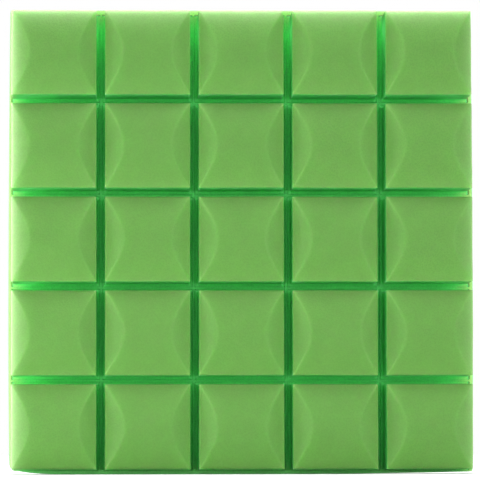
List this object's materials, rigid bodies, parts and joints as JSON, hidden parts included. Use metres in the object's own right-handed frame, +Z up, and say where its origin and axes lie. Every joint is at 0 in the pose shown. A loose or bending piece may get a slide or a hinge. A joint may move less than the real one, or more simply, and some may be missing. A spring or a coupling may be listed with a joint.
{
  "type": "acoustic foam panel",
  "caption": "Square acoustic foam tile: a grid of crowned square blocks, parted by deep narrow grooves, on a flat backing sheet that sticks to a wall.",
  "frame": {"origin": "centre of the flat back face, which lies against the wall", "axes": "+X to the right and +Z up as seen from the room; +Y points into the wall, so the crowned blocks face -Y"},
  "size_m": [0.25, 0.05, 0.25],
  "materials": {
    "foam": "matt open-cell foam, dyed through, with a fine cell grain"
  },
  "bodies": {
    "root": {"base_sheet": "foam", "block_r1_c1": "foam", "block_r1_c2": "foam", "block_r1_c3": "foam", "block_r1_c4": "foam", "block_r1_c5": "foam", "block_r2_c1": "foam", "block_r2_c2": "foam", "block_r2_c3": "foam", "block_r2_c4": "foam", "block_r2_c5": "foam", "block_r3_c1": "foam", "block_r3_c2": "foam", "block_r3_c3": "foam", "block_r3_c4": "foam", "block_r3_c5": "foam", "block_r4_c1": "foam", "block_r4_c2": "foam", "block_r4_c3": "foam", "block_r4_c4": "foam", "block_r4_c5": "foam", "block_r5_c1": "foam", "block_r5_c2": "foam", "block_r5_c3": "foam", "block_r5_c4": "foam", "block_r5_c5": "foam"}
  },
  "joints": []
}
